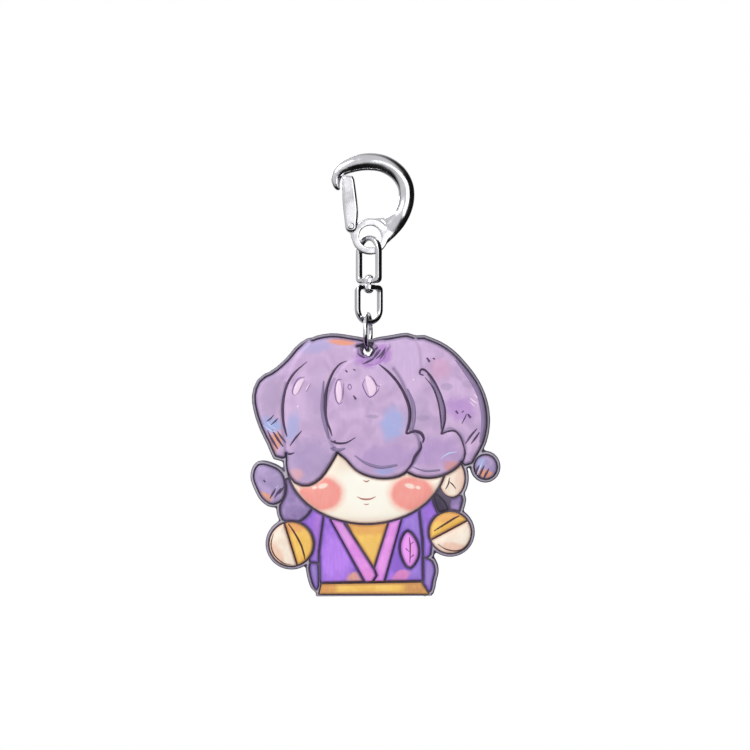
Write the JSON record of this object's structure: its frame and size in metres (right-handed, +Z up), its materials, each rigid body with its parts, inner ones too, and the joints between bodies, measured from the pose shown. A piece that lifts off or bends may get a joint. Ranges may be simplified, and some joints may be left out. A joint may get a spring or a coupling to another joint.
{
  "type": "keychain",
  "caption": "Snap-clasp keychain: a D-shaped spring-gate clasp, a riveted loop swivel and a jump ring carrying a flat moulded charm shaped like a small doll.",
  "frame": {"origin": "the point inside the top of the clasp's bow that rests on whatever the keychain hangs from", "axes": "+Z up along the hanging chain, +Y out of the charm's flat back, +X to the right seen from the charm's front"},
  "size_m": [0.0625, 0.01, 0.1108],
  "materials": {
    "plated_metal": "bright nickel plating over a zinc casting",
    "backing": "dark grey-purple soft PVC, satin",
    "border": "grey-lilac soft PVC, satin, raised",
    "hair": "lilac soft PVC, satin, tinted in brushy patches",
    "skin": "cream soft PVC, satin",
    "mustard": "mustard soft PVC, satin",
    "violet": "violet soft PVC, satin",
    "pink": "pink soft PVC, satin",
    "ink": "near-black soft PVC, satin"
  },
  "bodies": {
    "clasp": {"clasp_body": "plated_metal", "gate_pin": "plated_metal"},
    "gate": {"clasp_gate": "plated_metal", "gate_spring": "plated_metal"},
    "upper_loop": {"swivel_upper_loop": "plated_metal", "swivel_rivet": "plated_metal"},
    "lower_loop": {"swivel_lower_loop": "plated_metal"},
    "ring": {"jump_ring": "plated_metal"},
    "charm": {"backing_plate": "backing", "border": "border", "fringe_centre": "hair", "fringe_left": "hair", "fringe_right": "hair", "hair_side_left": "hair", "hair_side_right": "hair", "curl_right": "hair", "flick_left": "hair", "nape_left": "hair", "nape_right": "hair", "face": "skin", "ear": "skin", "left_hand": "skin", "right_hand": "skin", "left_cuff": "mustard", "right_cuff": "mustard", "belt": "mustard", "shirt": "mustard", "crown_tuft": "violet", "vest_left": "violet", "vest_right": "violet", "side_left": "violet", "side_right": "violet", "sleeve_left": "violet", "sleeve_right": "violet", "lapel_left": "pink", "lapel_right": "pink", "vest_leaf": "pink", "dark_lock": "ink"}
  },
  "joints": [
    {"name": "gate_hinge", "type": "hinge", "parent": "clasp", "child": "gate", "pos_m": [-0.0047, 0, -0.0139], "axis": [0, 1, 0], "range_deg": [0, 30], "stiffness_Nm_per_rad": 0.002, "springref_deg": -17.19},
    {"name": "clasp_swing", "type": "hinge", "parent": "clasp", "child": "upper_loop", "pos_m": [0, 0, -0.0164], "axis": [0, 1, 0], "range_deg": [-40, 40]},
    {"name": "swivel_turn", "type": "hinge", "parent": "upper_loop", "child": "lower_loop", "pos_m": [-0.0003, 0, -0.0282], "axis": [0, 0, 1], "continuous": true},
    {"name": "ring_swing", "type": "hinge", "parent": "lower_loop", "child": "ring", "pos_m": [-0.0003, 0, -0.03785], "axis": [0.9903, -0.1392, 0], "range_deg": [-55, 55]},
    {"name": "charm_swing", "type": "hinge", "parent": "ring", "child": "charm", "pos_m": [-0.0005, 0, -0.0448], "axis": [0, 1, 0], "range_deg": [-35, 35]}
  ]
}
